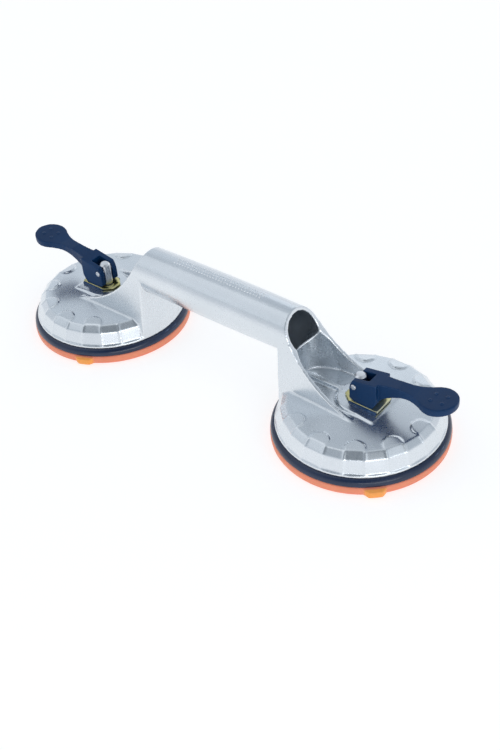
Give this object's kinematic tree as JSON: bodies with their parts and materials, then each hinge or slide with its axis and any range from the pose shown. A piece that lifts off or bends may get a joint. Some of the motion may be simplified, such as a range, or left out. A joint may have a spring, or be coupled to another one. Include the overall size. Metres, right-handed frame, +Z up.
{
  "type": "double vacuum suction lifter",
  "caption": "Two round suction cups on a cast aluminium body with a tubular carrying handle, each cup set and released by a folding cam lever.",
  "frame": {"origin": "midway between the two cups, on the plane of the sealing lips", "axes": "+X along the handle, +Y across it, +Z up from the sealing lips to the handle"},
  "size_m": [0.3696, 0.12, 0.0796],
  "materials": {
    "cast_aluminium": "bright satin die-cast",
    "navy_plastic": "satin moulded",
    "navy_rubber": "satin",
    "orange_rubber": "matte",
    "yellow_zinc": "yellow-passivated zinc",
    "steel": "bright zinc",
    "bronze": "sintered bronze"
  },
  "bodies": {
    "body": {"body_casting": "cast_aluminium", "left_guide_bush": "bronze", "left_bearing_pad": "navy_plastic", "left_cam_plate": "yellow_zinc", "left_bezel_ring": "navy_rubber", "left_suction_disc": "orange_rubber", "left_return_spring": "steel", "right_guide_bush": "bronze", "right_bearing_pad": "navy_plastic", "right_cam_plate": "yellow_zinc", "right_bezel_ring": "navy_rubber", "right_suction_disc": "orange_rubber", "right_return_spring": "steel"},
    "left_plunger": {"left_pull_rod": "steel", "left_cross_pin": "steel", "left_backing_plate": "steel", "left_lock_nut": "steel", "left_spring_seat": "steel"},
    "right_plunger": {"right_pull_rod": "steel", "right_cross_pin": "steel", "right_backing_plate": "steel", "right_lock_nut": "steel", "right_spring_seat": "steel"},
    "left_lever": {"left_lever": "navy_plastic"},
    "right_lever": {"right_lever": "navy_plastic"}
  },
  "joints": [
    {"name": "right_plunger_slide", "type": "slide", "parent": "body", "child": "right_plunger", "axis": [0, 0, 1], "range_m": [-0.005, 0], "deforming": ["right_return_spring", "right_suction_disc"]},
    {"name": "left_plunger_slide", "type": "slide", "parent": "body", "child": "left_plunger", "axis": [0, 0, 1], "range_m": [-0.005, 0], "deforming": ["left_return_spring", "left_suction_disc"]},
    {"name": "right_lever_hinge", "type": "hinge", "parent": "right_plunger", "child": "right_lever", "pos_m": [0.1155, 0, 0.0435], "axis": [0, -1, 0], "range_deg": [0, 90]},
    {"name": "left_lever_hinge", "type": "hinge", "parent": "left_plunger", "child": "left_lever", "pos_m": [-0.1155, 0, 0.0435], "axis": [0, 1, 0], "range_deg": [0, 90]}
  ],
  "couplings": [
    {"joint": "right_plunger_slide", "follows": "right_lever_hinge", "m_per_rad": -0.0031831},
    {"joint": "left_plunger_slide", "follows": "left_lever_hinge", "m_per_rad": -0.0031831}
  ]
}
